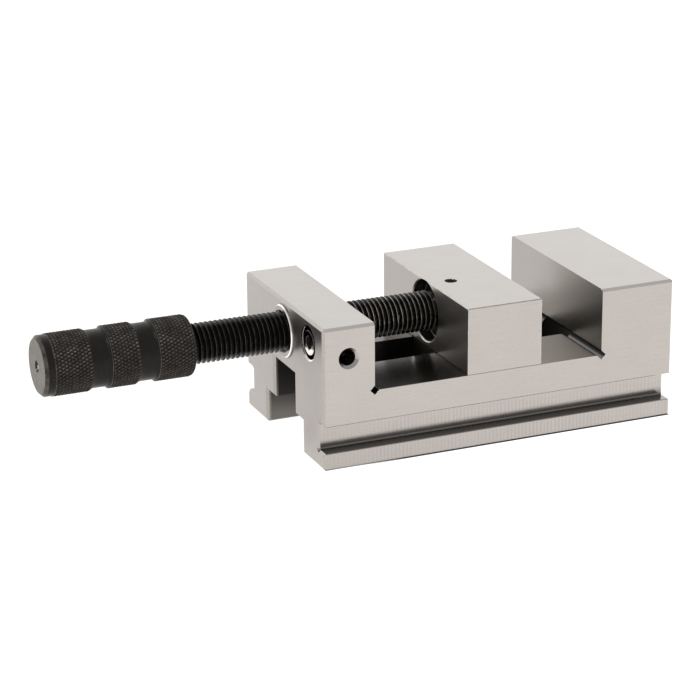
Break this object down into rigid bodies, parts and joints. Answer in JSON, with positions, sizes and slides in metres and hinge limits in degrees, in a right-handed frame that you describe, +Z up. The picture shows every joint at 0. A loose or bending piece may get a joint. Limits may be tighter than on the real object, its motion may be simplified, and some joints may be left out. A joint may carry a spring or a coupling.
{
  "type": "precision vise",
  "caption": "Low one-piece ground steel vise with a movable jaw in a T slot, a black screw spindle with a knurled grip, and clamping grooves along both sides.",
  "frame": {"origin": "on the ground underside, under the middle of the whole vise with its handle, jaws open as in the picture", "axes": "+X along the spindle from the handle to the fixed jaw, +Y across the body away from the side with the cross bore, +Z up"},
  "size_m": [0.2496, 0.08, 0.057],
  "materials": {
    "ground_steel": "hardened and precision ground, warm light grey, nearly mirror-like",
    "bush_steel": "turned bright steel",
    "keeper_steel": "ground steel",
    "hardened_steel": "hardened and polished steel",
    "spring_steel": "plain spring steel",
    "bright_screw_steel": "bright steel, nearly mirror-like",
    "black_oxide_spindle": "black oxide, oiled and glossy",
    "black_oxide_handle": "black oxide, satin, knurled",
    "black_oxide_fasteners": "black oxide"
  },
  "bodies": {
    "vise_body": {"vise_body": "ground_steel", "nut_bush": "bush_steel", "bush_lock_screw": "black_oxide_fasteners", "stop_clamp_screw": "bright_screw_steel"},
    "movable_jaw": {"movable_jaw": "ground_steel", "keeper_plate": "keeper_steel", "keeper_screws": "black_oxide_fasteners", "keeper_washers": "spring_steel", "thrust_pad": "hardened_steel", "retaining_pin": "hardened_steel", "pin_grub_screw": "black_oxide_fasteners"},
    "spindle": {"spindle": "black_oxide_spindle", "handle": "black_oxide_handle"}
  },
  "joints": [
    {"name": "jaw_slide", "type": "slide", "parent": "vise_body", "child": "movable_jaw", "axis": [1, 0, 0], "range_m": [-0.039, 0.0265]},
    {"name": "spindle_turn", "type": "hinge", "parent": "movable_jaw", "child": "spindle", "pos_m": [-0.02525, 0, 0.04431], "axis": [1, 0, 0], "range_deg": [-7020.1, 4770.1]}
  ],
  "couplings": [
    {"joint": "spindle_turn", "follows": "jaw_slide", "rad_per_m": 3141.6}
  ]
}
